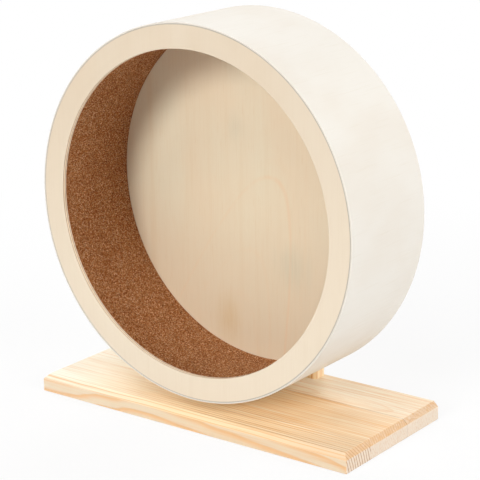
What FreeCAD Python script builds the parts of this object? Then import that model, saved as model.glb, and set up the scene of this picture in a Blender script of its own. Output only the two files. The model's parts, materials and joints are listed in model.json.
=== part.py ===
import FreeCAD, Part
import math
import os

from FreeCAD import Vector

# Rodent exercise wheel on a pine stand, in millimetres.
# The origin is the middle of the base's underside: X runs along the base, the open front faces -Y, Z is up.

# Drum
drum_diameter = 280.0
drum_depth = 94.0
hoop_thickness = 1.2
ring_thickness = 4.0
ring_width = 17.7
mouth_chamfer = 0.5
disc_thickness = 4.0
cork_thickness = 5.0
seam_gap = 0.4
hoop_seam_angle = 250.0
cork_seam_angle = 20.0

# Stand
base_length = 284.0
base_depth = 124.5
base_thickness = 14.0
base_chamfer = 4.0
drum_clearance = 7.0
upright_width = 82.0
upright_thickness = 14.0
upright_rise = 40.0
upright_corner_radius = 18.0
upright_chamfer = 2.5

# Wood screws and dowels between base and upright
screw_diameter = 4.0
screw_length = 40.0
screw_head_diameter = 8.0
screw_head_sink = 0.5
screw_spacing = 28.0
dowel_diameter = 8.0
dowel_length = 30.0
dowel_base_depth = 9.0
dowel_edge_distance = 10.0

# Hub plate and axle bolt
hub_diameter = 70.0
hub_thickness = 6.0
hub_chamfer = 1.0
hub_web = 2.5
bolt_diameter = 8.0
bolt_length = 30.0
bolt_tip_chamfer = 0.8
head_across_flats = 13.0
head_height = 5.3
head_clearance = 0.2
hole_clearance = 0.2

# Washers and lock nut
washer_diameter = 16.0
washer_thickness = 1.6
nut_across_flats = 13.0
nut_hex_height = 6.0
nut_collar_height = 2.0
nut_collar_diameter = 11.6
nut_collar_lip = 0.5
insert_wall = 1.0

# Deep-groove ball bearings, two of them side by side in the upright
bearing_outer_diameter = 22.0
bearing_width = 7.0
bearing_edge_chamfer = 0.3
ball_diameter = 3.969
ball_count = 7
race_shoulder = 1.45
race_clearance = 0.03
axle_fit = 0.02
shield_recess = 0.15
shield_thickness = 0.3
shield_seat_step = 0.65
shield_gap = 0.3
cage_thickness = 1.5
cage_wall = 0.25
pocket_clearance = 0.1

# Radii and places that follow from the sizes above
drum_radius = drum_diameter / 2
hoop_inner_radius = drum_radius - hoop_thickness
cork_inner_radius = hoop_inner_radius - cork_thickness
mouth_radius = hoop_inner_radius - ring_width
bolt_radius = bolt_diameter / 2
inner_bore_radius = bolt_radius + axle_fit
bearing_radius = bearing_outer_diameter / 2
pitch_radius = (bolt_radius + bearing_radius) / 2
ball_radius = ball_diameter / 2

axle_height = base_thickness + drum_clearance + drum_radius
base_rear = base_depth / 2
upright_front = base_rear - upright_thickness
hub_rear = upright_front - washer_thickness
drum_rear = hub_rear - hub_thickness
disc_front = drum_rear - disc_thickness
drum_front = drum_rear - drum_depth
ring_rear = drum_front + ring_thickness
head_seat = hub_rear - hub_web
head_front = head_seat - head_height
front_bearing_middle = upright_front + bearing_width / 2
rear_bearing_middle = front_bearing_middle + bearing_width
bearings_rear = rear_bearing_middle + bearing_width / 2
nut_front = bearings_rear + washer_thickness

axle_centre = Vector(0, 0, axle_height)
axle_direction = Vector(0, 1, 0)


def save(name, shape):
    shape.exportStep("parts/" + name + ".step")


def on_axle(radius, y):
    """A point above the axle, at a radius from it and a place along it."""
    return Vector(0, y, axle_height + radius)


def turned(edges, sweep=360.0):
    """Turns a closed outline, drawn beside the axle, about the axle."""
    outline = Part.Face(Part.Wire(edges))
    return outline.revolve(axle_centre, axle_direction, sweep)


def outline_edges(corners):
    """Straight edges round a closed outline of (radius, y) corners."""
    points = [on_axle(radius, y) for radius, y in corners]
    return Part.makePolygon(points + points[:1]).Edges


def tube(inner_radius, outer_radius, front, rear):
    corners = [(inner_radius, front), (outer_radius, front), (outer_radius, rear), (inner_radius, rear)]
    return turned(outline_edges(corners))


def bent_strip(inner_radius, outer_radius, front, rear, seam_angle):
    """A strip bent into a hoop, whose ends meet at a narrow seam."""
    gap_angle = math.degrees(seam_gap / outer_radius)
    corners = [(inner_radius, front), (outer_radius, front), (outer_radius, rear), (inner_radius, rear)]
    strip = turned(outline_edges(corners), 360.0 - gap_angle)
    # The outline starts straight up, and a turn about +Y carries it towards +X.
    strip.rotate(axle_centre, axle_direction, 90.0 - seam_angle + gap_angle / 2)
    return strip


def rod(radius, front, rear):
    return Part.makeCylinder(radius, rear - front, Vector(0, front, axle_height), axle_direction)


def hexagon(across_flats, front, rear):
    corner_radius = across_flats / math.sqrt(3)
    corners = []
    for index in range(6):
        angle = math.radians(60 * index)
        x = corner_radius * math.cos(angle)
        z = axle_height + corner_radius * math.sin(angle)
        corners.append(Vector(x, front, z))
    outline = Part.Face(Part.makePolygon(corners + corners[:1]))
    return outline.extrude(Vector(0, rear - front, 0))


def crowned_hexagon(across_flats, front, rear, crown_front, crown_rear):
    """A hexagon whose corners are turned off to a round face at one or both ends."""
    flat_radius = across_flats / 2
    corner_radius = across_flats / math.sqrt(3)
    crown = (corner_radius - flat_radius) * math.tan(math.radians(30))
    front_crown = crown if crown_front else 0.0
    rear_crown = crown if crown_rear else 0.0
    corners = [(0, front)]
    if crown_front:
        corners.append((flat_radius, front))
    corners.append((corner_radius, front + front_crown))
    corners.append((corner_radius, rear - rear_crown))
    if crown_rear:
        corners.append((flat_radius, rear))
    corners.append((0, rear))
    return hexagon(across_flats, front, rear).common(turned(outline_edges(corners)))


# Drum


def make_drum_hoop():
    return bent_strip(hoop_inner_radius, drum_radius, drum_front, drum_rear, hoop_seam_angle)


def make_cork_liner():
    return bent_strip(cork_inner_radius, hoop_inner_radius, ring_rear, disc_front, cork_seam_angle)


def make_front_ring():
    corners = [
        (mouth_radius + mouth_chamfer, drum_front),
        (hoop_inner_radius, drum_front),
        (hoop_inner_radius, ring_rear),
        (mouth_radius + mouth_chamfer, ring_rear),
        (mouth_radius, ring_rear - mouth_chamfer),
        (mouth_radius, drum_front + mouth_chamfer),
    ]
    return turned(outline_edges(corners))


def head_recess_radius():
    return head_across_flats / math.sqrt(3) + head_clearance


def make_back_disc():
    disc = rod(hoop_inner_radius, disc_front, drum_rear)
    recess_depth = max(drum_rear - head_front, 0.0) + head_clearance
    return disc.cut(rod(head_recess_radius(), drum_rear - recess_depth, drum_rear))


def make_hub_plate():
    hub_radius = hub_diameter / 2
    corners = [
        (0, drum_rear),
        (hub_radius, drum_rear),
        (hub_radius, hub_rear - hub_chamfer),
        (hub_radius - hub_chamfer, hub_rear),
        (0, hub_rear),
    ]
    plate = turned(outline_edges(corners))
    pocket = hexagon(head_across_flats + 2 * head_clearance, drum_rear, head_seat)
    bolt_hole = rod(bolt_radius + hole_clearance, drum_rear, hub_rear)
    return plate.cut(pocket).cut(bolt_hole)


def make_axle_bolt():
    head = crowned_hexagon(head_across_flats, head_front, head_seat, True, False)
    tip = head_seat + bolt_length
    corners = [
        (0, head_seat),
        (bolt_radius, head_seat),
        (bolt_radius, tip - bolt_tip_chamfer),
        (bolt_radius - bolt_tip_chamfer, tip),
        (0, tip),
    ]
    return head.fuse(turned(outline_edges(corners))).removeSplitter()


def make_washer(front):
    return tube(bolt_radius + hole_clearance, washer_diameter / 2, front, front + washer_thickness)


def insert_rear():
    return nut_front + nut_hex_height + nut_collar_height - nut_collar_lip


def make_lock_nut():
    hex_rear = nut_front + nut_hex_height
    body = crowned_hexagon(nut_across_flats, nut_front, hex_rear, True, True)
    collar = rod(nut_collar_diameter / 2, hex_rear, hex_rear + nut_collar_height)
    bore = rod(inner_bore_radius, nut_front, hex_rear)
    seat = rod(inner_bore_radius + insert_wall, hex_rear, insert_rear())
    lip = rod(inner_bore_radius + insert_wall / 2, insert_rear(), hex_rear + nut_collar_height)
    return body.fuse(collar).removeSplitter().cut(bore).cut(seat).cut(lip)


def make_nut_insert():
    hex_rear = nut_front + nut_hex_height
    return tube(inner_bore_radius, inner_bore_radius + insert_wall, hex_rear, insert_rear())


# Ball bearings, each placed by its middle plane


def race_half_width():
    groove_radius = ball_radius + race_clearance
    return math.sqrt(groove_radius ** 2 - race_shoulder ** 2)


def groove_arc(middle, shoulder_radius, bottom_radius):
    """The ball groove's section, from its front shoulder over its bottom to its rear shoulder."""
    front = on_axle(shoulder_radius, middle - race_half_width())
    bottom = on_axle(bottom_radius, middle)
    rear = on_axle(shoulder_radius, middle + race_half_width())
    return Part.Arc(front, bottom, rear).toShape()


def open_outline(corners):
    """Straight edges along an open run of (radius, y) corners."""
    return Part.makePolygon([on_axle(radius, y) for radius, y in corners]).Edges


def make_outer_race(middle):
    front = middle - bearing_width / 2
    rear = middle + bearing_width / 2
    edge = bearing_edge_chamfer
    shoulder = pitch_radius + race_shoulder
    seat = shoulder + shield_seat_step
    seat_depth = shield_recess + shield_thickness
    walls = open_outline([
        (shoulder, middle + race_half_width()),
        (shoulder, rear - seat_depth),
        (seat, rear - seat_depth),
        (seat, rear),
        (bearing_radius - edge, rear),
        (bearing_radius, rear - edge),
        (bearing_radius, front + edge),
        (bearing_radius - edge, front),
        (seat, front),
        (seat, front + seat_depth),
        (shoulder, front + seat_depth),
        (shoulder, middle - race_half_width()),
    ])
    groove = groove_arc(middle, shoulder, pitch_radius + ball_radius + race_clearance)
    return turned([groove] + walls)


def make_inner_race(middle):
    front = middle - bearing_width / 2
    rear = middle + bearing_width / 2
    shoulder = pitch_radius - race_shoulder
    walls = open_outline([
        (shoulder, middle + race_half_width()),
        (shoulder, rear),
        (inner_bore_radius, rear),
        (inner_bore_radius, front),
        (shoulder, front),
        (shoulder, middle - race_half_width()),
    ])
    groove = groove_arc(middle, shoulder, pitch_radius - ball_radius - race_clearance)
    return turned([groove] + walls)


def make_shields(middle):
    inner_radius = pitch_radius - race_shoulder + shield_gap
    outer_radius = pitch_radius + race_shoulder + shield_seat_step
    front = middle - bearing_width / 2 + shield_recess
    rear = middle + bearing_width / 2 - shield_recess
    front_shield = tube(inner_radius, outer_radius, front, front + shield_thickness)
    rear_shield = tube(inner_radius, outer_radius, rear - shield_thickness, rear)
    return Part.makeCompound([front_shield, rear_shield])


def ball_directions():
    """Directions from the axle to each ball, evenly spaced."""
    angles = [2 * math.pi * index / ball_count for index in range(ball_count)]
    return [Vector(math.sin(angle), 0, math.cos(angle)) for angle in angles]


def make_ball_set(middle):
    centre = Vector(0, middle, axle_height)
    balls = [Part.makeSphere(ball_radius, centre + way * pitch_radius) for way in ball_directions()]
    return Part.makeCompound(balls)


def make_ball_cage(middle):
    """A ring with one round pocket bored through it for each ball."""
    centre = Vector(0, middle, axle_height)
    pocket_radius = ball_radius + pocket_clearance
    half_width = pocket_radius + cage_wall
    inner_radius = pitch_radius - cage_thickness / 2
    outer_radius = pitch_radius + cage_thickness / 2
    cage = tube(inner_radius, outer_radius, middle - half_width, middle + half_width)
    pockets = [Part.makeCylinder(pocket_radius, bearing_radius, centre, way) for way in ball_directions()]
    return cage.cut(pockets)


# Stand


def screw_places():
    y = base_rear - upright_thickness / 2
    return [Vector(side * screw_spacing / 2, y, 0) for side in (-1, 1)]


def dowel_places():
    y = base_rear - upright_thickness / 2
    reach = upright_width / 2 - dowel_edge_distance
    return [Vector(side * reach, y, base_thickness - dowel_base_depth) for side in (-1, 1)]


def make_screw(place):
    """A countersunk screw pointing up, its head sunk into the underside."""
    head_radius = screw_head_diameter / 2
    shank_radius = screw_diameter / 2
    tip = screw_head_sink + screw_length
    corners = [
        (0, screw_head_sink),
        (head_radius, screw_head_sink),
        (shank_radius, screw_head_sink + head_radius - shank_radius),
        (shank_radius, tip - 2 * screw_diameter),
        (0, tip),
    ]
    points = [place + Vector(radius, 0, height) for radius, height in corners]
    outline = Part.Face(Part.makePolygon(points + points[:1]))
    return outline.revolve(place, Vector(0, 0, 1), 360)


def make_screw_mouth(place):
    return Part.makeCylinder(screw_head_diameter / 2, screw_head_sink, place)


def make_dowel(place):
    return Part.makeCylinder(dowel_diameter / 2, dowel_length, place)


def screws():
    return [make_screw(place) for place in screw_places()]


def dowels():
    return [make_dowel(place) for place in dowel_places()]


def make_base_board():
    corner = Vector(-base_length / 2, -base_depth / 2, 0)
    board = Part.makeBox(base_length, base_depth, base_thickness, corner)
    eased = []
    for edge in board.Edges:
        middle = edge.CenterOfMass
        on_top = abs(middle.z - base_thickness) < 0.001
        at_rear = abs(middle.y - base_rear) < 0.001
        if on_top and not at_rear:
            eased.append(edge)
    board = board.makeChamfer(base_chamfer, eased)
    mouths = [make_screw_mouth(place) for place in screw_places()]
    return board.cut(screws() + mouths + dowels())


def make_rear_upright():
    side = upright_width / 2
    top = axle_height + upright_rise
    radius = upright_corner_radius
    bend = radius * (1 - math.sqrt(0.5))
    front = upright_front
    foot_left = Vector(-side, front, base_thickness)
    foot_right = Vector(side, front, base_thickness)
    bend_left = [Vector(-side, front, top - radius), Vector(-side + bend, front, top - bend)]
    bend_left.append(Vector(-side + radius, front, top))
    bend_right = [Vector(side - radius, front, top), Vector(side - bend, front, top - bend)]
    bend_right.append(Vector(side, front, top - radius))
    outline = Part.Wire([
        Part.makeLine(foot_left, bend_left[0]),
        Part.Arc(*bend_left).toShape(),
        Part.makeLine(bend_left[2], bend_right[0]),
        Part.Arc(*bend_right).toShape(),
        Part.makeLine(bend_right[2], foot_right),
        Part.makeLine(foot_right, foot_left),
    ])
    board = Part.Face(outline).extrude(Vector(0, upright_thickness, 0))
    eased = []
    for edge in board.Edges:
        middle = edge.CenterOfMass
        on_face = abs(middle.y - front) < 0.001 or abs(middle.y - base_rear) < 0.001
        at_foot = abs(middle.z - base_thickness) < 0.001
        if on_face and not at_foot:
            eased.append(edge)
    board = board.makeChamfer(upright_chamfer, eased)
    bearing_bore = rod(bearing_radius, upright_front, base_rear)
    return board.cut([bearing_bore] + screws() + dowels())


os.makedirs("parts", exist_ok=True)

save("base_board", make_base_board())
save("rear_upright", make_rear_upright())
save("upright_screws", Part.makeCompound(screws()))
save("upright_dowels", Part.makeCompound(dowels()))

save("drum_hoop", make_drum_hoop())
save("cork_liner", make_cork_liner())
save("front_ring", make_front_ring())
save("back_disc", make_back_disc())
save("hub_plate", make_hub_plate())
save("axle_bolt", make_axle_bolt())
save("hub_washer", make_washer(hub_rear))
save("nut_washer", make_washer(bearings_rear))
save("lock_nut", make_lock_nut())
save("nut_insert", make_nut_insert())

for bearing, middle in (("front", front_bearing_middle), ("rear", rear_bearing_middle)):
    save(bearing + "_bearing_outer", make_outer_race(middle))
    save(bearing + "_bearing_inner", make_inner_race(middle))
    save(bearing + "_bearing_shields", make_shields(middle))
    save(bearing + "_ball_set", make_ball_set(middle))
    save(bearing + "_ball_cage", make_ball_cage(middle))
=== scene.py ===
import json
import math

import bmesh
import bpy
from mathutils import Matrix, Quaternion, Vector

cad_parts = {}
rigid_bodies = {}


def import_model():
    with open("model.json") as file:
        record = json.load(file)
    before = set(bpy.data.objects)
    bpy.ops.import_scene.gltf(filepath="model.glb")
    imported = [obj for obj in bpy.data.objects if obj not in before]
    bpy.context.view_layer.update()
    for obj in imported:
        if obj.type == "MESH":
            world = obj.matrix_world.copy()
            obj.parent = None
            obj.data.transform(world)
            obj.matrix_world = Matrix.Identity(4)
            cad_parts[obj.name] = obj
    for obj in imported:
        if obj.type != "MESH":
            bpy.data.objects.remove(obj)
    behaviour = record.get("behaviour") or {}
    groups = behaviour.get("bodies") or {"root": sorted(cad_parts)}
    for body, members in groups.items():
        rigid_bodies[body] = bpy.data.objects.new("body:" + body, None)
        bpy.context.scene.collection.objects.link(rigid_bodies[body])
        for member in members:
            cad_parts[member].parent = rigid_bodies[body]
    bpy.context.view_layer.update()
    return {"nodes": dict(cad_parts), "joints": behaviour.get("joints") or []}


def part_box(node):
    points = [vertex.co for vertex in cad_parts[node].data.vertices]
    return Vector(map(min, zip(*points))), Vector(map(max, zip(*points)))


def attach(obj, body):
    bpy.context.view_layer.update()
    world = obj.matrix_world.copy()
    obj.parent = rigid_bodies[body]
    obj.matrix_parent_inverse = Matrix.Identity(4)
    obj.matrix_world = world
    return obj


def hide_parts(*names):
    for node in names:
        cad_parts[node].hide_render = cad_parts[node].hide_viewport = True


for leftover in list(bpy.data.objects):  # the start-up cube, lamp and camera
    bpy.data.objects.remove(leftover)

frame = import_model()
nodes = frame["nodes"]
axle = Vector(frame["joints"][0]["pos_m"])
mm = 0.001
print("frame loaded:", len(nodes), "nodes, axle at", [round(c, 4) for c in axle])


def offAxle(point):  # a point's distance from the axle
    return math.hypot(point.x - axle.x, point.z - axle.z)


def spans(node):  # least and greatest distance from the axle
    reach = [offAxle(v.co) for v in nodes[node].data.vertices]
    return min(reach), max(reach)


def depths(node):  # front and rear along the axle
    low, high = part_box(node)
    return low.y, high.y


# small helpers for the node trees

def paint(red, green, blue):  # screen colour, 0 to 255, as the linear colour a shader takes
    tone = [c / 255 for c in (red, green, blue)]
    tone = [c / 12.92 if c < 0.0405 else ((c + 0.055) / 1.055) ** 2.4 for c in tone]
    return (*tone, 1)


def plug(tree, socket, value):
    if isinstance(value, bpy.types.NodeSocket):
        tree.links.new(value, socket)
    else:
        socket.default_value = value


def put(tree, kind, plugs=None, **settings):
    node = tree.nodes.new("ShaderNode" + kind)
    for key, value in settings.items():
        setattr(node, key, value)
    for key, value in (plugs or {}).items():
        plug(tree, node.inputs[key], value)
    return node


def calc(tree, operation, first, second=0.0, third=0.0):
    plugs = {0: first, 1: second, 2: third}
    return put(tree, "Math", plugs, operation=operation).outputs[0]


def times(tree, first, *others):
    for other in others:
        first = calc(tree, "MULTIPLY", first, other)
    return first


def fade(tree, value, low, high, start=0.0, end=1.0):  # soft step from start to end
    plugs = {"Value": value, "From Min": low, "From Max": high, "To Min": start, "To Max": end}
    return put(tree, "MapRange", plugs, interpolation_type="SMOOTHSTEP").outputs[0]


def nearLine(tree, value, place, width):  # 1 on the line, 0 at width from it
    away = calc(tree, "ABSOLUTE", calc(tree, "SUBTRACT", value, place))
    return fade(tree, away, 0.0, width, 1.0, 0.0)


def tint(tree, amount, base, top):
    node = put(tree, "Mix", {0: amount}, data_type="RGBA")
    plug(tree, node.inputs[6], base)
    plug(tree, node.inputs[7], top)
    return node.outputs[2]


def either(tree, amount, first, second):  # blend of two numbers
    return put(tree, "Mix", {0: amount, 2: first, 3: second}, data_type="FLOAT").outputs[0]


def length(tree, vector):
    return put(tree, "VectorMath", {0: vector}, operation="LENGTH").outputs["Value"]


def inMillimetres(tree):
    place = put(tree, "TexCoord").outputs["Object"]
    return put(tree, "VectorMath", {0: place, "Scale": 1 / mm}, operation="SCALE").outputs[0]


def facing(tree):  # how far a face points along x, y and z, from 0 to 1
    normal = put(tree, "TexCoord").outputs["Normal"]
    flat = put(tree, "VectorMath", {0: normal}, operation="ABSOLUTE").outputs[0]
    return put(tree, "SeparateXYZ", {0: flat}).outputs


def fromAxle(tree, x, z):  # distance from the axle in a node tree, in mm
    up = calc(tree, "SUBTRACT", z, axle.z / mm)
    return length(tree, put(tree, "CombineXYZ", {0: x, 2: up}).outputs[0])


def speckle(tree, place, shift, scale, detail=2.0, rough=0.5):  # noise about 0.5, scale in cycles per mm
    moved = put(tree, "Mapping", {"Vector": place, "Location": shift, "Scale": scale}).outputs[0]
    plugs = {"Vector": moved, "Scale": 1.0, "Detail": detail, "Roughness": rough}
    return put(tree, "TexNoise", plugs).outputs[0]


def newFinish(name):
    finish = bpy.data.materials.new(name)
    finish.use_nodes = True
    finish.node_tree.nodes.clear()
    return finish, finish.node_tree


def closeFinish(tree, colour, roughness, height, bump, fixed):  # bump: strength, depth in metres
    shader = put(tree, "BsdfPrincipled", {"Base Color": colour, "Roughness": roughness, **fixed})
    plugs = {"Height": height, "Strength": bump[0], "Distance": bump[1]}
    tree.links.new(put(tree, "Bump", plugs).outputs[0], shader.inputs["Normal"])
    tree.links.new(shader.outputs[0], put(tree, "OutputMaterial").inputs[0])


# pine: rings about a pith line, cut by the board's faces, so top, edge and end agree

boardFront = depths("base_board")[0] / mm
basePine = {
    "pale": paint(249, 243, 226), "amber": paint(255, 227, 183), "early": paint(236, 210, 174),
    # bevel is the painted shade colour of the chamfers
    "late": paint(227, 171, 108), "line": paint(190, 143, 98), "bevel": paint(208, 178, 148),
    "soaked": paint(202, 146, 88),
    "edge": paint(212, 194, 168), "edgeLate": paint(216, 168, 118),
    "endPale": paint(231, 215, 196), "endLine": paint(180, 132, 94), "glue": paint(142, 98, 64),
    "paleToAmber": (-150, 10), "amberToEarly": (30, 125),  # pale to amber, then amber to early, along these stretches; partly the wood's own tone, partly painted light: the left end paler where more light falls, the amber middle brighter under the drum's shade
    "topLines": (0.1, 0.85), "linesReach": (-110, 70),  # the top's lines strengthen along this stretch
    "chamferEdgeShade": (boardFront + 4.6, 0.9, 0.8),  # painted shade: a dark line along the top edge of the front chamfer: place, half width, strength
    "strips": [  # start across, pith across and deep, its lean per mm along, ring spacing, contrast, end, warmth
        {"pith": (-425, -123), "lean": (0, 0), "spacing": 2.85,
         "contrast": 1.0, "onEnd": 1.0, "warmth": 0.05},
        {"from": -31, "pith": (240, -150), "lean": (0.02, 0.03), "spacing": 2.3,
         "contrast": 0.46, "onEnd": 0.3, "warmth": 0.05},
        # the rear strip's negative warmth paints it paler: partly its own tone, partly painted light behind the
        # drum where its shade falls
        {"from": 18.2, "pith": (25, 13.5), "lean": (0.012, -0.13), "spacing": 2.7,
         "contrast": 0.32, "onEnd": 0.2, "warmth": -0.25},
    ],
    "glueLines": [(18.2, 0.4, 0.7), (-31.0, 0.35, 0.25)],  # place, half width, strength
    "figure": [  # how a ring wanders up the front face, (along, height) in mm
        (-142, -10.8), (-112, -9.4), (-98, -6.3), (-84, -3.1), (-70, -2.4), (-58, 0.4), (-44, 1.6), (-28, 0.9),
        (-10, -1.2), (10, -2.8), (25, -5.0), (45, -6.7), (70, -9.0), (95, -11.0), (120, -13.6), (142, -18.1)],
    "figureSpan": (-20.0, 4.0),  # heights that the curve has room for
    "figureShare": (-0.065, -0.326),  # of that height, inside the board and on its front face
    "yearShift": 46440,  # picks which years leave strong lines
    "axes": "xyz",
}

uprightPine = {
    **basePine,
    "pale": paint(255, 228, 178), "amber": paint(255, 228, 178), "early": paint(254, 230, 184),
    "late": paint(232, 168, 106), "line": paint(224, 158, 98), "topLines": (0.8, 0.8),
    "edge": paint(248, 226, 190), "edgeLate": paint(240, 196, 146),
    "strips": [{"pith": (-11, 12), "lean": (0.035, 0.02), "spacing": 4.0,
                "contrast": 0.8, "onEnd": 1.0, "warmth": 0.05}],
    "chamferEdgeShade": None, "glueLines": [], "figure": None, "axes": "zxy",
}

pineNoise = {  # offset, cycles per mm along, across and deep, detail, roughness
    "sway": ((3, 7, 1), (0.007, 0.03, 0.03)), "waver": ((9, 2, 5), (0.03, 0.2, 0.2)),
    "fibre": ((4, 4, 8), (0.012, 0.95, 0.95), 3.0, 0.65), "streak": ((7, 5, 2), (0.009, 0.42, 0.42), 3.0, 0.65),
    "cloud": ((6, 1, 3), (0.012, 0.05, 0.05)), "mottle": ((2, 8, 4), (0.4, 0.5, 0.5), 3.0, 0.6),
}
pineStep = {  # soft steps: low and high, and the result at each where it isn't 0 and 1
    "onFace": (0.8, 0.96), "onEnd": (0.78, 0.96), "endChamfer": (0.3, 0.66), "chamfer": (0.76, 0.92, 0.3, 0.0),
    "brown": (0.4, 0.9), "lateDrop": (0.93, 1.0, 1.0, 0.0), "year": (0.1, 0.9, 0.25, 1.0),
    "paler": (0.0, -0.5), "cloud": (0.35, 0.75, 0.0, 0.12), "fibre": (0.48, 0.72, 0.0, 0.5),
    "darkStreak": (0.52, 0.68), "paleStreak": (0.48, 0.32), "edgeStreak": (0.42, 0.7, 0.0, 0.4),
    "edgeRise": (0.3, 0.78), "edgeDrop": (0.8, 1.0, 1.0, 0.0),
    "mottle": (0.45, 0.75, 0.0, 0.38), "endLines": (0.1, 0.7), "roughness": (0.2, 0.8, 0.5, 0.66),
}
pineAmount = {
    "sway": 3.0, "waver": 0.8,  # mm by which the rings wander
    "lateStart": (0.45, 0.66), "lateFull": 0.9,  # parts of a year's ring, the start in plain and in brown strips
    "sideLines": 0.8, "streaks": 0.7, "edge": 0.85, "edgeLines": 0.85,
    "soaked": 0.34, "chamferLines": 0.6, "endGlue": 0.4, "fibreHeight": 0.5,
    "bump": (0.2, 0.00012), "fixed": {"Specular IOR Level": 0.3},
}


def pineFinish(name, wood):
    step, amount = pineStep, pineAmount
    finish, tree = newFinish(name)
    place = inMillimetres(tree)
    axes = dict(zip("xyz", put(tree, "SeparateXYZ", {0: place}).outputs))
    along, across, deep = (axes[a] for a in wood["axes"])
    faces = facing(tree)
    endWay, edgeWay, topWay = (faces["xyz".index(a)] for a in wood["axes"])
    onTop = fade(tree, topWay, *step["onFace"])
    onEdge = fade(tree, edgeWay, *step["onFace"])
    grained = put(tree, "CombineXYZ", {0: along, 1: across, 2: deep}).outputs[0]
    noise = {key: speckle(tree, grained, *values) for key, values in pineNoise.items()}
    fibre, streak = noise["fibre"], noise["streak"]
    wander = [(calc(tree, "SUBTRACT", noise[key], 0.5), amount[key]) for key in ("sway", "waver")]

    mixed = None
    for strip in wood["strips"]:
        offset = []
        for axis, pith, lean in zip((across, deep), strip["pith"], strip["lean"]):
            centre = calc(tree, "MULTIPLY_ADD", along, lean, pith)
            offset.append(calc(tree, "SUBTRACT", axis, centre))
        ring = length(tree, put(tree, "CombineXYZ", {1: offset[0], 2: offset[1]}).outputs[0])
        if wood["figure"] and strip is wood["strips"][0]:
            swing = either(tree, onEdge, *wood["figureShare"])
            ring = calc(tree, "MULTIPLY_ADD", figureHeight(tree, along, wood), swing, ring)
        for drift, reach in wander:
            ring = calc(tree, "MULTIPLY_ADD", drift, reach, ring)
        ring = calc(tree, "DIVIDE", ring, strip["spacing"])
        values = [ring, strip["contrast"], strip["onEnd"], strip["warmth"]]
        if mixed:
            past = calc(tree, "GREATER_THAN", across, strip["from"])
            values = [either(tree, past, before, here) for before, here in zip(mixed, values)]
        mixed = values
    phase, contrast, endShow, warmth = mixed

    share = calc(tree, "FRACT", phase)
    number = calc(tree, "ADD", calc(tree, "FLOOR", phase), wood["yearShift"])
    year = put(tree, "TexWhiteNoise", {"W": number}, noise_dimensions="1D").outputs["Value"]
    brown = fade(tree, endShow, *step["brown"])
    rise = fade(tree, share, either(tree, brown, *amount["lateStart"]), amount["lateFull"])
    drop = fade(tree, share, *step["lateDrop"])
    evenLines = times(tree, rise, drop, contrast)
    lateWood = times(tree, evenLines, fade(tree, year, *step["year"]))

    topShow = fade(tree, along, *wood["linesReach"], *wood["topLines"])
    lines = times(tree, lateWood, either(tree, onTop, amount["sideLines"], topShow))
    # partly painted light: the pale left end and the bright amber middle under the drum stand in for light there
    paleToAmber = fade(tree, along, *wood["paleToAmber"])
    ground = tint(tree, paleToAmber, wood["pale"], wood["amber"])
    ground = tint(tree, fade(tree, along, *wood["amberToEarly"]), ground, wood["early"])
    ground = tint(tree, fade(tree, warmth, *step["paler"]), ground, wood["pale"])
    ground = tint(tree, times(tree, calc(tree, "MAXIMUM", warmth, 0.0), paleToAmber), ground, wood["late"])
    ground = tint(tree, fade(tree, noise["cloud"], *step["cloud"]), ground, wood["late"])
    streaked = times(tree, topShow, amount["streaks"])
    for mark, shade in (("darkStreak", "late"), ("paleStreak", "pale")):
        ground = tint(tree, times(tree, fade(tree, streak, *step[mark]), streaked), ground, wood[shade])
    ground = tint(tree, fade(tree, fibre, *step["fibre"]), ground, wood["late"])
    lineColour = tint(tree, times(tree, brown, onTop), wood["late"], wood["line"])
    colour = tint(tree, lines, ground, lineColour)
    # painted shade: a dark line where the top meets the front chamfer
    if wood["chamferEdgeShade"]:
        spot, width, strength = wood["chamferEdgeShade"]
        chamferEdgeShade = times(tree, nearLine(tree, across, spot, width), onTop, topShow, strength)
        colour = tint(tree, chamferEdgeShade, colour, wood["line"])
    squarest = calc(tree, "MAXIMUM", calc(tree, "MAXIMUM", topWay, edgeWay), endWay)
    chamfer = fade(tree, squarest, *step["chamfer"])  # painted shade: the chamfers are darkened towards the bevel colour
    colour = tint(tree, chamfer, colour, wood["bevel"])
    edgeGround = tint(tree, fade(tree, streak, *step["edgeStreak"]), wood["edge"], wood["edgeLate"])
    soft = times(tree, fade(tree, share, *step["edgeRise"]), fade(tree, share, *step["edgeDrop"]), contrast)
    edgeColour = tint(tree, times(tree, soft, amount["edgeLines"]), edgeGround, wood["edgeLate"])
    colour = tint(tree, times(tree, onEdge, amount["edge"]), colour, edgeColour)

    onEnd = fade(tree, endWay, *step["onEnd"])
    eased = fade(tree, endWay, *step["endChamfer"])  # the end chamfers soak up more colour
    colour = tint(tree, times(tree, eased, amount["soaked"]), colour, wood["soaked"])
    colour = tint(tree, times(tree, eased, evenLines, amount["chamferLines"]), colour, wood["endLine"])
    endGround = tint(tree, fade(tree, noise["mottle"], *step["mottle"]), wood["endPale"], wood["edgeLate"])
    endLines = times(tree, fade(tree, evenLines, *step["endLines"]), endShow)
    colour = tint(tree, onEnd, colour, tint(tree, endLines, endGround, wood["endLine"]))
    for spot, width, strength in wood["glueLines"]:
        seen = either(tree, onEnd, strength, strength * amount["endGlue"])
        colour = tint(tree, times(tree, nearLine(tree, across, spot, width), seen), colour, wood["glue"])

    height = calc(tree, "MULTIPLY_ADD", fibre, amount["fibreHeight"], lateWood)
    roughness = fade(tree, fibre, *step["roughness"])
    closeFinish(tree, colour, roughness, height, amount["bump"], amount["fixed"])
    return finish


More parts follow.
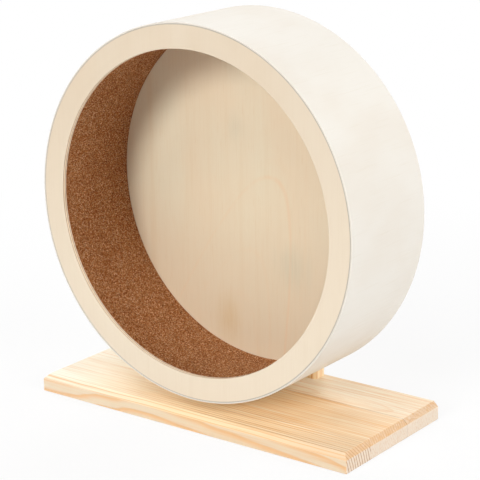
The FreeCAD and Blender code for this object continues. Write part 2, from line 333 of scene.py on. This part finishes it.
def figureHeight(tree, along, wood):
    points = wood["figure"]
    first, last = points[0][0], points[-1][0]
    low, high = wood["figureSpan"]
    curve = put(tree, "FloatCurve")
    line = curve.mapping.curves[0]
    line.points[0].location = (0.0, (points[0][1] - low) / (high - low))
    line.points[1].location = (1.0, (points[-1][1] - low) / (high - low))
    for x, z in points[1:-1]:
        line.points.new((x - first) / (last - first), (z - low) / (high - low))
    curve.mapping.update()
    plugs = {"Value": along, "From Min": first, "From Max": last}
    tree.links.new(put(tree, "MapRange", plugs).outputs[0], curve.inputs["Value"])
    return calc(tree, "MULTIPLY_ADD", curve.outputs[0], high - low, low)


# plywood: pale rotary veneer with upright grain, and layered edges

ringPly = {
    "pale": paint(207, 192, 171), "warm": paint(204, 187, 164), "streak": paint(188, 162, 130),
    "low": paint(217, 203, 182), "paintedShadingReach": (25, 300),  # painted light: the ring turns paler to this colour downwards, standing in for light from below, heights in mm
    # skin and core are painted paler than the face veneer: partly the plies' own tone, partly painted light on the
    # mouth's shaded inner wall
    "skin": paint(246, 232, 210), "core": paint(248, 230, 204), "glue": paint(128, 96, 70),
    "joint": paint(156, 149, 140),
    "band": 0.05, "fibre": 0.07, "pores": 0.09,
    "layers": (0.18, 0.66), "shift": (11, 3, 5), "arches": [], "stains": [], "streaks": [],
}
discPly = {
    **ringPly,
    "pale": paint(227, 215, 188), "warm": paint(227, 209, 180), "streak": paint(208, 168, 112),
    # painted shade: the disc darkens to this colour downwards, standing in for its lighter top
    "low": paint(222, 205, 177), "paintedShadingReach": (95, 165),
    "band": 0.09, "fibre": 0.1, "pores": 0.1, "shift": (2, 8, 1),
    "figure": paint(232, 184, 136), "farLimb": 0.4,  # the figure is fainter left of its crown
    "crown": {"middle": 3.0, "lean": -0.33, "bend": 0.04, "wobble": 8.0, "spread": 0.09},
    "arches": [  # height of the crown above the axle, half width, strength
        (12.3, 3.0, 0.26), (26.0, 5.0, 0.05), (-48.0, 3.0, 0.07), (-84.0, 5.0, 0.04), (58.0, 9.0, 0.04)],
    "stains": [  # x, z above the axle, radius, how tall, colour, strength
        (28, -56, 21, 1.1, paint(190, 190, 168), 0.32), (-24, 46, 13, 1.0, paint(196, 194, 172), 0.22),
        (-33, -108, 15, 1.8, paint(204, 166, 104), 0.36)],
    "streaks": [(-108, 5.0, 0.12)],  # painted shade: a darker upright line near the disc's left edge; x, half width, strength
}
hubPly = {**ringPly, "paintedShadingReach": None, "layers": (0.32, 0.68), "shift": (5, 5, 9)}

plyNoise = {  # cycles per mm, detail, roughness
    "cloud": ((0.018, 0.01, 0.006), 2.0), "band": ((0.16, 0.01, 0.006), 2.0),
    "fibre": ((1.3, 0.01, 0.035), 2.0, 0.6), "pores": ((0.9, 0.02, 0.07), 1.0),
    "wobble": ((0.03, 0.01, 0.02), 2.0),
}
plyStep = {  # soft steps, as for pine
    "cloud": (0.35, 0.7), "band": (0.5, 0.8), "fibre": (0.45, 0.8), "pores": (0.66, 0.76),
    "patchy": (0.25, 0.6, 0.4, 1.0), "limb": (-12.0, 4.0), "stained": (0.3, 0.6, 0.5, 1.0),
    "edge": (0.35, 0.75, 1.0, 0.0), "edgeFibre": (0.4, 0.8, 0.0, 0.3), "roughness": (0.2, 0.8, 0.55, 0.7),
}
plyAmount = {
    "stainReach": (0.4, 1.5), "stainRagged": 0.8,  # parts of a stain's radius
    "glueLine": (0.11, 0.95), "jointLine": (0.85, 0.9),  # half width, strength
    "bump": (0.1, 0.0001), "fixed": {"Specular IOR Level": 0.25},
}


def plyFinish(name, sheet, node, jointRadius=None):
    step, amount = plyStep, plyAmount
    finish, tree = newFinish(name)
    place = inMillimetres(tree)
    x, y, z = put(tree, "SeparateXYZ", {0: place}).outputs
    shift = sheet["shift"]
    noise = {key: speckle(tree, place, shift, *plyNoise[key]) for key in ("cloud", "band", "fibre")}
    noise["pores"] = speckle(tree, place, (shift[2], shift[0], shift[1]), *plyNoise["pores"])
    band, fibre = noise["band"], noise["fibre"]

    colour = tint(tree, fade(tree, noise["cloud"], *step["cloud"]), sheet["pale"], sheet["warm"])
    # painted light and shade by height: paler downwards on the ring, darker downwards on the disc
    if sheet["paintedShadingReach"]:
        colour = tint(tree, fade(tree, z, *sheet["paintedShadingReach"], 1.0, 0.0), colour, sheet["low"])
    for mark in ("band", "fibre", "pores"):
        colour = tint(tree, fade(tree, noise[mark], *step[mark], 0.0, sheet[mark]), colour, sheet["streak"])

    if sheet["arches"]:
        crown = sheet["crown"]
        up = calc(tree, "SUBTRACT", z, axle.z / mm)
        wobble = calc(tree, "SUBTRACT", speckle(tree, place, shift, *plyNoise["wobble"]), 0.5)
        side = calc(tree, "MULTIPLY_ADD", up, crown["lean"], calc(tree, "SUBTRACT", x, crown["middle"]))
        arch = calc(tree, "MULTIPLY_ADD", times(tree, side, side), crown["bend"], up)
        arch = calc(tree, "MULTIPLY_ADD", wobble, crown["wobble"], arch)
        spread = times(tree, calc(tree, "ABSOLUTE", side), crown["spread"])
        patchy = fade(tree, band, *step["patchy"])
        patchy = times(tree, patchy, fade(tree, side, *step["limb"], sheet["farLimb"], 1.0))
        for spot, width, strength in sheet["arches"]:
            away = calc(tree, "DIVIDE", calc(tree, "SUBTRACT", arch, spot), calc(tree, "ADD", spread, width))
            line = fade(tree, calc(tree, "ABSOLUTE", away), 0.0, 1.0, strength, 0.0)
            colour = tint(tree, times(tree, line, patchy), colour, sheet["figure"])
    for spotX, spotZ, radius, tall, stain, strength in sheet["stains"]:
        rise = calc(tree, "DIVIDE", calc(tree, "SUBTRACT", z, spotZ + axle.z / mm), tall)
        away = length(tree, put(tree, "CombineXYZ", {0: calc(tree, "SUBTRACT", x, spotX), 2: rise}).outputs[0])
        away = calc(tree, "MULTIPLY_ADD", band, radius * amount["stainRagged"], away)
        inner, outer = (radius * reach for reach in amount["stainReach"])
        patch = fade(tree, away, inner, outer, strength, 0.0)
        colour = tint(tree, times(tree, patch, fade(tree, fibre, *step["stained"])), colour, stain)
    # painted shade: darker upright lines, as at the disc's shaded left edge
    for spot, width, strength in sheet["streaks"]:
        line = times(tree, nearLine(tree, x, spot, width), strength)
        colour = tint(tree, line, colour, sheet["streak"])

    front, rear = (d / mm for d in depths(node))
    depth = put(tree, "MapRange", {"Value": y, "From Min": front, "From Max": rear}).outputs[0]
    edge = fade(tree, facing(tree)[1], *step["edge"])
    low, high = sheet["layers"]
    inCore = times(tree, calc(tree, "GREATER_THAN", depth, low), calc(tree, "LESS_THAN", depth, high))
    # the edge plies carry painted light as well as their own tone
    layer = tint(tree, inCore, sheet["skin"], sheet["core"])
    width, strength = amount["glueLine"]
    for joint in sheet["layers"]:
        layer = tint(tree, times(tree, nearLine(tree, depth, joint, width), strength), layer, sheet["glue"])
    layer = tint(tree, fade(tree, fibre, *step["edgeFibre"]), layer, sheet["streak"])
    colour = tint(tree, edge, colour, layer)
    if jointRadius:  # the glued joint with the hoop shows as a thin grey line
        width, strength = amount["jointLine"]
        line = times(tree, nearLine(tree, fromAxle(tree, x, z), jointRadius / mm, width), strength)
        colour = tint(tree, line, colour, sheet["joint"])
    roughness = fade(tree, fibre, *step["roughness"])
    closeFinish(tree, colour, roughness, fibre, amount["bump"], amount["fixed"])
    return finish


# hoop: whitish bending veneer, its cut edge a little darker, with a grey line at the glued joint

hoopSkin = {
    "white": paint(229, 224, 215), "cream": paint(226, 219, 208), "fleck": paint(216, 205, 186),
    "edge": paint(212, 205, 194), "joint": paint(148, 142, 136),
    "cloud": ((1, 2, 3), (0.02, 0.012, 0.02), 3.0), "fibre": ((8, 2, 4), (0.9, 0.03, 0.9), 2.0),
    "creamy": (0.38, 0.68), "flecked": (0.55, 0.8, 0.0, 0.2), "onEdge": (0.4, 0.8),
    "jointLine": (0.4, 0.9),  # half width in mm, strength
    "roughness": (0.2, 0.8, 0.5, 0.64), "bump": (0.08, 0.0001), "fixed": {"Specular IOR Level": 0.25},
}


def hoopFinish(name, skin, inner):
    finish, tree = newFinish(name)
    place = inMillimetres(tree)
    x, y, z = put(tree, "SeparateXYZ", {0: place}).outputs
    cloud = speckle(tree, place, *skin["cloud"])
    fibre = speckle(tree, place, *skin["fibre"])
    colour = tint(tree, fade(tree, cloud, *skin["creamy"]), skin["white"], skin["cream"])
    colour = tint(tree, fade(tree, fibre, *skin["flecked"]), colour, skin["fleck"])
    width, strength = skin["jointLine"]
    line = times(tree, nearLine(tree, fromAxle(tree, x, z), inner / mm, width), strength)
    edge = tint(tree, line, skin["edge"], skin["joint"])
    colour = tint(tree, fade(tree, facing(tree)[1], *skin["onEdge"]), colour, edge)
    closeFinish(tree, colour, fade(tree, fibre, *skin["roughness"]), fibre, skin["bump"], skin["fixed"])
    return finish


# cork: pressed granules of mixed browns

corkCrumb = {
    "grain": 1.85, "coarse": 0.7,  # granules per mm
    "warp": {"Scale": 0.9, "Detail": 1.0}, "bend": (0.9, 0.9, 0.9),  # how the granules are squeezed out of true
    "cloud": ((3, 1, 7), (0.05, 0.05, 0.05)),
    "fineTone": 0.92, "coarseTone": 0.05, "cloudTone": 0.12,
    "browns": [(0.1, paint(106, 55, 25)), (0.36, paint(156, 91, 48)), (0.58, paint(182, 116, 69)),
               (0.8, paint(208, 151, 100)), (1.0, paint(246, 206, 160))],
    "seam": paint(96, 54, 30), "groove": (0.0, 0.1, 0.5, 0.0), "rounding": (0.0, 0.2), "relief": 0.5,
    "roughness": (0.0, 1.0, 0.72, 0.9), "bump": (0.5, 0.0003), "fixed": {"Specular IOR Level": 0.15},
}


def corkFinish(name, crumb):
    finish, tree = newFinish(name)
    place = inMillimetres(tree)
    warp = put(tree, "TexNoise", {"Vector": place, **crumb["warp"]}).outputs["Color"]
    bent = put(tree, "VectorMath", {0: warp, 1: crumb["bend"], 2: place}, operation="MULTIPLY_ADD").outputs[0]
    fine = put(tree, "TexVoronoi", {"Vector": bent, "Scale": crumb["grain"]})
    coarse = put(tree, "TexVoronoi", {"Vector": bent, "Scale": crumb["coarse"]})
    rim = put(tree, "TexVoronoi", {"Vector": bent, "Scale": crumb["grain"]}, feature="DISTANCE_TO_EDGE").outputs[0]
    pick = put(tree, "SeparateColor", {0: fine.outputs["Color"]}).outputs[0]
    lump = put(tree, "SeparateColor", {0: coarse.outputs["Color"]}).outputs[1]
    cloud = speckle(tree, place, *crumb["cloud"])
    tone = calc(tree, "MULTIPLY_ADD", lump, crumb["coarseTone"], times(tree, pick, crumb["fineTone"]))
    tone = calc(tree, "MULTIPLY_ADD", cloud, crumb["cloudTone"], tone)
    shades = put(tree, "ValToRGB", {0: tone})
    bar = shades.color_ramp.elements
    bar[0].position, bar[0].color = crumb["browns"][0]
    bar[1].position, bar[1].color = crumb["browns"][-1]
    for spot, colour in crumb["browns"][1:-1]:
        bar.new(spot).color = colour
    colour = tint(tree, fade(tree, rim, *crumb["groove"]), shades.outputs[0], crumb["seam"])
    height = calc(tree, "MULTIPLY_ADD", pick, crumb["relief"], fade(tree, rim, *crumb["rounding"]))
    closeFinish(tree, colour, fade(tree, pick, *crumb["roughness"]), height, crumb["bump"], crumb["fixed"])
    return finish


# metal, nylon and dowel wood of the fasteners and bearings

hardware = {
    "zinc": {"light": paint(206, 208, 212), "dull": paint(168, 170, 174),
             "grain": (0.7, 0.7, 0.7), "rough": (0.3, 0.46)},
    "bearing": {"light": paint(214, 214, 216), "dull": paint(186, 187, 190),
                "grain": (1.6, 0.4, 1.6), "rough": (0.16, 0.3)},
    "nylon": {"light": paint(236, 232, 220), "dull": paint(222, 215, 198),
              "grain": (0.5, 0.5, 0.5), "rough": (0.4, 0.55)},
    "beech": {"light": paint(214, 176, 136), "dull": paint(186, 140, 98),
              "grain": (1.8, 1.8, 0.08), "rough": (0.55, 0.7)},
    "shift": (2, 6, 4), "detail": (3.0, 0.6), "dulled": (0.3, 0.7), "roughened": (0.25, 0.75),
    "bump": (0.06, 0.00005),
}


def workshopFinish(name, kind, metallic):
    look = hardware[kind]
    finish, tree = newFinish(name)
    mottle = speckle(tree, inMillimetres(tree), hardware["shift"], look["grain"], *hardware["detail"])
    colour = tint(tree, fade(tree, mottle, *hardware["dulled"]), look["light"], look["dull"])
    roughness = fade(tree, mottle, *hardware["roughened"], *look["rough"])
    closeFinish(tree, colour, roughness, mottle, hardware["bump"], {"Metallic": metallic})
    return finish


hoopInner = spans("drum_hoop")[0]
pineBase = pineFinish("edge glued pine", basePine)
pineUpright = pineFinish("upright pine", uprightPine)
plyRing = plyFinish("ring plywood", ringPly, "front_ring", hoopInner)
plyDisc = plyFinish("back disc plywood", discPly, "back_disc", hoopInner)
plyHub = plyFinish("hub plywood", hubPly, "hub_plate")
veneer = hoopFinish("hoop veneer", hoopSkin, hoopInner)
cork = corkFinish("pressed cork", corkCrumb)
zinc = workshopFinish("zinc plated steel", "zinc", 1.0)
bearingSteel = workshopFinish("bearing steel", "bearing", 1.0)
nylon = workshopFinish("nylon", "nylon", 0.0)
beech = workshopFinish("dowel beech", "beech", 0.0)
print("finishes made:", len(bpy.data.materials))


# pieces: turned profiles, eased boards, and fasteners with their thread and recess

fullTurn = 2 * math.pi
axleLine = Vector((axle.x, 0, axle.z))
alongAxle = Vector((0, 1, 0))
tolerance = {"onAxis": 1e-6, "inPlane": 1e-6, "merge": 1e-7, "cadMerge": 2e-6, "threadMerge": 1e-6}  # metres
smoothing = {"bevelSegments": 3, "angle": math.radians(32), "weight": 100}


def turned(corners, softened, centre, along, steps, start=0.0, sweep=fullTurn):
    bm = bmesh.new()
    side = Vector((1, 0, 0))
    verts = [bm.verts.new(centre + side * r + along * t) for r, t in corners]
    onAxis = [r < tolerance["onAxis"] for r, t in corners]
    for here, there in zip(range(len(verts)), [*range(1, len(verts)), 0]):
        if not (onAxis[here] and onAxis[there]):
            bm.edges.new((verts[here], verts[there]))
    for vert, size in zip(verts, softened):
        if size > 0:
            bmesh.ops.bevel(bm, geom=[vert], affect="VERTICES", offset=size,
                            segments=smoothing["bevelSegments"], profile=0.5, material=-1)
    if start:
        bmesh.ops.rotate(bm, verts=bm.verts[:], cent=centre, matrix=Matrix.Rotation(-start, 3, along))
    full = sweep == fullTurn
    bmesh.ops.spin(bm, geom=bm.verts[:] + bm.edges[:], cent=centre, axis=-along, angle=sweep,
                   steps=steps, use_merge=full)
    bmesh.ops.remove_doubles(bm, verts=bm.verts[:], dist=tolerance["merge"])
    if not full:  # close the strip's two cut ends
        closeHoles(bm)
    bmesh.ops.recalc_face_normals(bm, faces=bm.faces[:])
    return bm


def closeHoles(bm):
    bmesh.ops.holes_fill(bm, edges=[e for e in bm.edges if e.is_boundary], sides=0)


def cutAt(bm, point, normal, geom=None, **cleared):
    geom = geom or bm.verts[:] + bm.edges[:] + bm.faces[:]
    bmesh.ops.bisect_plane(bm, geom=geom, dist=tolerance["merge"], plane_co=point, plane_no=normal, **cleared)


def mergedCopy(node):
    bm = bmesh.new()
    bm.from_mesh(nodes[node].data)
    bmesh.ops.remove_doubles(bm, verts=bm.verts[:], dist=tolerance["cadMerge"])
    return bm


def shown(bm, name, body, slot, finish, *replaced):
    mesh = bpy.data.meshes.new(name)
    bm.to_mesh(mesh)
    bm.free()
    if "custom_normal" in mesh.attributes:
        mesh.attributes.remove(mesh.attributes["custom_normal"])
    mesh.shade_smooth()
    mesh.set_sharp_from_angle(angle=smoothing["angle"])
    piece = bpy.data.objects.new(name, mesh)
    bpy.context.scene.collection.objects.link(piece)
    mesh.materials.append(finish)
    flat = piece.modifiers.new("flat faces stay flat", "WEIGHTED_NORMAL")
    flat.keep_sharp = True
    flat.weight = smoothing["weight"]
    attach(piece, body)
    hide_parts(*replaced)
    print("made", name, len(mesh.polygons), "faces")


def band(node, name, slot, finish, shape):  # eased in order from the inner front round to the inner rear
    inner, outer = spans(node)
    front, rear = depths(node)
    corners = [(inner, front), (outer, front), (outer, rear), (inner, rear)]
    start, sweep = 0.0, fullTurn
    if "seam" in shape:  # a bent strip, its ends a small gap apart
        gapAngle = shape["gap"] / outer
        start, sweep = shape["seam"] + gapAngle / 2, fullTurn - gapAngle
    bm = turned(corners, shape["eased"], axleLine, alongAxle, shape["steps"], start, sweep)
    shown(bm, name, "wheel", slot, finish, node)


ringShape = {"eased": (0.5 * mm, 0.25 * mm, 0, 0.5 * mm), "steps": 224}
band("front_ring", "frontRing", "plywood", plyRing, ringShape)

hoopShape = {"eased": [0.22 * mm] * 4, "steps": 224, "seam": math.radians(250), "gap": 0.4 * mm}
band("drum_hoop", "drumHoop", "hoop_veneer", veneer, hoopShape)

corkShape = {"eased": (0.3 * mm, 0, 0, 0.3 * mm), "steps": 224, "seam": math.radians(20), "gap": 0.4 * mm}
band("cork_liner", "corkLiner", "cork", cork, corkShape)

discShape = {"edge": 0.25 * mm, "steps": 224, "recess": 7.7 * mm, "headRoom": 0.2 * mm}
discOuter = spans("back_disc")[1]
discFront, discRear = depths("back_disc")
headFront, boltTip = depths("axle_bolt")
recessFloor = headFront - discShape["headRoom"]
shown(
    turned([(0, discFront), (discOuter, discFront), (discOuter, discRear), (discShape["recess"], discRear),
            (discShape["recess"], recessFloor), (0, recessFloor)],
           [0, 0, discShape["edge"], 0, 0, 0], axleLine, alongAxle, discShape["steps"]),
    "backDisc", "wheel", "plywood", plyDisc, "back_disc")

hubShape = {"frontEdge": 0.3 * mm, "edge": 1.0 * mm, "steps": 128,
            "recess": 7.9 * mm, "web": 2.5 * mm, "hole": 4.2 * mm}
hubOuter = spans("hub_plate")[1]
hubFront, hubRear = depths("hub_plate")
hubSeat = hubRear - hubShape["web"]
shown(
    turned([(hubShape["recess"], hubFront), (hubOuter, hubFront), (hubOuter, hubRear),
            (hubShape["hole"], hubRear), (hubShape["hole"], hubSeat), (hubShape["recess"], hubSeat)],
           [0, hubShape["frontEdge"], hubShape["edge"], 0, 0, 0], axleLine, alongAxle, hubShape["steps"]),
    "hubPlate", "wheel", "plywood", plyHub, "hub_plate")

washerShape = {"eased": [0.25 * mm] * 4, "steps": 72}
for node, name in (("hub_washer", "hubWasher"), ("nut_washer", "nutWasher")):
    band(node, name, "zinc_steel", zinc, washerShape)


# boards keep the CAD shape, with their sharp edges eased

easing = {
    "size": 0.45 * mm, "flat": math.radians(1), "turn": math.radians(20),
    "longEdge": 5 * mm, "trim": 2.6 * mm, "bore": 12 * mm, "foot": 0.1 * mm,
}
uprightLow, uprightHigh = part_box("rear_upright")


def easedBoard(node, chosen):
    bm = mergedCopy(node)
    bmesh.ops.dissolve_limit(bm, angle_limit=easing["flat"], verts=bm.verts[:], edges=bm.edges[:])
    edges = [e for e in bm.edges if len(e.link_faces) == 2 and e.calc_face_angle() > easing["turn"] and chosen(e)]
    bmesh.ops.bevel(bm, geom=edges, affect="EDGES", offset=easing["size"], segments=smoothing["bevelSegments"],
                    profile=0.5, material=-1)
    return bm


def onUprightOutline(edge):
    for v in edge.verts:
        nearFace = min(v.co.y - uprightLow.y, uprightHigh.y - v.co.y) < easing["trim"]
        if not (nearFace and offAxle(v.co) > easing["bore"]):
            return False
    return max(v.co.z for v in edge.verts) > uprightLow.z + easing["foot"]


shown(easedBoard("base_board", lambda edge: edge.calc_length() > easing["longEdge"]),
      "baseBoard", "stand", "pine", pineBase, "base_board")
shown(easedBoard("rear_upright", onUprightOutline), "rearUpright", "stand", "pine", pineUpright, "rear_upright")


# screws: turned, with a cross recess pressed into the head

screwShape = {"shank": 2.0 * mm, "point": 8 * mm, "rim": 0.2 * mm, "steps": 48,
              "slotLong": 2.0 * mm, "slotWide": 0.45 * mm, "slotDeep": 1.5 * mm, "slotTaper": 0.6}


def headFaces(bm, centre):
    return [f for f in bm.faces if all(abs(v.co.z - centre.z) < tolerance["inPlane"] for v in f.verts)]


def vertsOf(geom):
    return [g for g in geom if isinstance(g, bmesh.types.BMVert)]


def crossRecess(bm, centre):
    arm, half, taper = (screwShape[key] for key in ("slotLong", "slotWide", "slotTaper"))
    for axis in (Vector((1, 0, 0)), Vector((0, 1, 0))):
        for far in (-arm, -half, half, arm):
            geom = {g for f in headFaces(bm, centre) for g in (*f.verts, *f.edges, f)}
            cutAt(bm, centre + axis * far, axis, list(geom))
    slot = []
    for face in headFaces(bm, centre):
        x, y, z = face.calc_center_median() - centre
        if max(abs(x), abs(y)) < arm and min(abs(x), abs(y)) < half:
            slot.append(face)
    verts = vertsOf(bmesh.ops.extrude_face_region(bm, geom=slot)["geom"])
    bmesh.ops.translate(bm, verts=verts, vec=(0, 0, screwShape["slotDeep"]))
    bmesh.ops.scale(bm, verts=verts, vec=(taper, taper, 1), space=Matrix.Translation(-centre))
    bmesh.ops.delete(bm, geom=[f for f in slot if f.is_valid], context="FACES_ONLY")


screwLow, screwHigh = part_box("upright_screws")
headRadius = (screwHigh.y - screwLow.y) / 2
screwFoot = Vector((screwLow.x + headRadius, screwLow.y + headRadius, screwLow.z))
screwLength = screwHigh.z - screwLow.z
cone = headRadius - screwShape["shank"]
screws = turned(
    [(0, 0), (headRadius, 0), (screwShape["shank"], cone),
     (screwShape["shank"], screwLength - screwShape["point"]), (0, screwLength)],
    [0, screwShape["rim"], 0, 0, 0], screwFoot, Vector((0, 0, 1)), screwShape["steps"])
crossRecess(screws, screwFoot)
second = bmesh.ops.duplicate(screws, geom=screws.verts[:] + screws.edges[:] + screws.faces[:])["geom"]
bmesh.ops.translate(screws, verts=vertsOf(second), vec=(screwHigh.x - headRadius - screwFoot.x, 0, 0))
shown(screws, "uprightScrews", "stand", "zinc_steel", zinc, "upright_screws")


# axle bolt: the CAD head and shank, with a rolled thread from inside the nut to the tip

threadShape = {"pitch": 1.25 * mm, "depth": 0.7 * mm, "crest": 0.16 * mm, "turnSteps": 40, "spareTurns": 2,
               "start": 2 * mm, "overlap": 0.2 * mm, "tip": 0.8 * mm}


def rolledThread(start, radius):
    bm = bmesh.new()
    pitch, crest, spare = (threadShape[key] for key in ("pitch", "crest", "spareTurns"))
    root = radius - threadShape["depth"]
    rows = [(root, 0), (radius, (pitch - crest) / 2), (radius, (pitch + crest) / 2), (root, pitch)]
    verts = [bm.verts.new((axle.x + r, start - spare * pitch + t, axle.z)) for r, t in rows]
    for here, there in zip(verts, verts[1:]):
        bm.edges.new((here, there))
    turns = math.ceil((boltTip - start) / pitch) + 2 * spare
    bmesh.ops.spin(bm, geom=bm.verts[:] + bm.edges[:], cent=axleLine, axis=alongAxle, angle=fullTurn * turns,
                   dvec=alongAxle * pitch / threadShape["turnSteps"], steps=turns * threadShape["turnSteps"])
    bmesh.ops.remove_doubles(bm, verts=bm.verts[:], dist=tolerance["threadMerge"])
    for end, side in ((start - threadShape["overlap"], "clear_inner"), (boltTip, "clear_outer")):
        cutAt(bm, Vector((0, end, 0)), alongAxle, **{side: True})
        closeHoles(bm)
    for v in bm.verts:  # the tip's chamfer
        past = max(0, v.co.y - (boltTip - threadShape["tip"]))
        spoke = Vector((v.co.x - axle.x, 0, v.co.z - axle.z))
        if past and spoke.length > radius - past:
            v.co -= spoke * (1 - (radius - past) / spoke.length)
    bmesh.ops.recalc_face_normals(bm, faces=bm.faces[:])
    return bm


threadStart = depths("lock_nut")[0] + threadShape["start"]
bolt = mergedCopy("axle_bolt")
shank = max(offAxle(v.co) for v in bolt.verts if v.co.y > threadStart)
cutAt(bolt, Vector((0, threadStart, 0)), alongAxle, clear_outer=True)
closeHoles(bolt)
thread = rolledThread(threadStart, shank)
rolled = bpy.data.meshes.new("thread")
thread.to_mesh(rolled)
thread.free()
bolt.from_mesh(rolled)
bpy.data.meshes.remove(rolled)
shown(bolt, "axleBolt", "wheel", "zinc_steel", zinc, "axle_bolt")

# these nodes show as they are in the CAD
keptNodes = {"lock_nut": zinc, "nut_insert": nylon, "upright_dowels": beech}
for side in ("front", "rear"):
    for part in ("outer", "inner", "shields"):
        keptNodes[side + "_bearing_" + part] = bearingSteel
    keptNodes[side + "_ball_set"] = bearingSteel
    keptNodes[side + "_ball_cage"] = nylon
for node, finish in keptNodes.items():
    nodes[node].material_slots[0].material = finish
print("hardware finished")


# floor, light and camera

white = (1, 1, 1, 1)
studio = {
    "surround": 0.17, "reach": 4.4, "aim": (0, 0, 0.16),
    "floorSize": 6.0, "floorHeight": -0.0004, "floorGrey": (0.86, 0.86, 0.86, 1),
    "floorShow": 0.85, "shadowReach": (0.25, 0.7),  # the shadow fades out between these distances
    "lamps": [  # degrees left of the open front, degrees up, size, power
        ("key", -2, 18.5, 1.3, 110), ("front", 0, 55, 2.0, 54), ("left", 98, 14, 2.0, 92),
        ("right", -82, 22, 2.0, 93), ("backRight", -138, 40, 2.0, 39), ("backLeft", 150, 40, 2.0, 40)],
}
shot = {
    "azimuth": 36.93, "elevation": 16.06, "roll": -0.78,  # degrees
    "distance": 1.2437, "lens": 130.06, "sensor": 36, "clip": (0.05, 20), "aim": (0.0322, -0.0349, 0.1446),
}


def seenStraight(tree):  # 1 for camera, glossy and transmission rays
    path = put(tree, "LightPath").outputs
    seen = calc(tree, "MAXIMUM", path["Is Camera Ray"], path["Is Glossy Ray"])
    return calc(tree, "MAXIMUM", seen, path["Is Transmission Ray"])


def buildSurround():
    world = bpy.data.worlds.new("white surround")
    bpy.context.scene.world = world
    world.use_nodes = True
    tree = world.node_tree
    tree.nodes.clear()
    strength = either(tree, seenStraight(tree), studio["surround"], 1.0)
    sky = put(tree, "Background", {"Color": white, "Strength": strength})
    tree.links.new(sky.outputs[0], put(tree, "OutputWorld").inputs[0])


def buildFloor():
    bm = bmesh.new()
    bmesh.ops.create_grid(bm, x_segments=1, y_segments=1, size=studio["floorSize"] / 2,
                          matrix=Matrix.Translation((0, 0, studio["floorHeight"])))
    mesh = bpy.data.meshes.new("floor")
    bm.to_mesh(mesh)
    bm.free()
    floor = bpy.data.objects.new("floor", mesh)
    bpy.context.scene.collection.objects.link(floor)
    finish, tree = newFinish("pale floor")
    bare = put(tree, "BsdfDiffuse", {"Color": studio["floorGrey"]})
    glow = put(tree, "Emission", {"Color": white, "Strength": 1.0})
    away = length(tree, put(tree, "TexCoord").outputs["Object"])
    share = times(tree, seenStraight(tree), fade(tree, away, *studio["shadowReach"], studio["floorShow"], 1.0))
    mixed = put(tree, "MixShader", {0: share, 1: bare.outputs[0], 2: glow.outputs[0]})
    tree.links.new(mixed.outputs[0], put(tree, "OutputMaterial").inputs[0])
    mesh.materials.append(finish)


def hangLamps():
    for name, left, up, size, power in studio["lamps"]:
        lamp = bpy.data.lights.new(name, "AREA")
        lamp.shape = "DISK"
        lamp.size = size
        lamp.energy = power
        left, up = math.radians(left), math.radians(up)
        away = Vector((-math.sin(left) * math.cos(up), -math.cos(left) * math.cos(up), math.sin(up)))
        holder = bpy.data.objects.new(name, lamp)
        holder.location = Vector(studio["aim"]) + away * studio["reach"]
        holder.rotation_mode = "QUATERNION"
        holder.rotation_quaternion = (-away).to_track_quat("-Z", "Y")
        bpy.context.scene.collection.objects.link(holder)


def placeCamera():
    turn, lift, tip = (math.radians(shot[k]) for k in ("azimuth", "elevation", "roll"))
    back = Vector((math.sin(turn) * math.cos(lift), -math.cos(turn) * math.cos(lift), math.sin(lift)))
    lens = bpy.data.cameras.new("camera")
    lens.sensor_width = shot["sensor"]
    lens.lens = shot["lens"]
    lens.clip_start, lens.clip_end = shot["clip"]
    camera = bpy.data.objects.new("camera", lens)
    camera.rotation_mode = "QUATERNION"
    camera.rotation_quaternion = (-back).to_track_quat("-Z", "Y") @ Quaternion((0, 0, 1), tip)
    camera.location = Vector(shot["aim"]) + back * shot["distance"]
    bpy.context.scene.collection.objects.link(camera)
    bpy.context.scene.camera = camera


buildSurround()
buildFloor()
hangLamps()
placeCamera()
bpy.context.scene.view_settings.view_transform = "Standard"
print("studio ready")
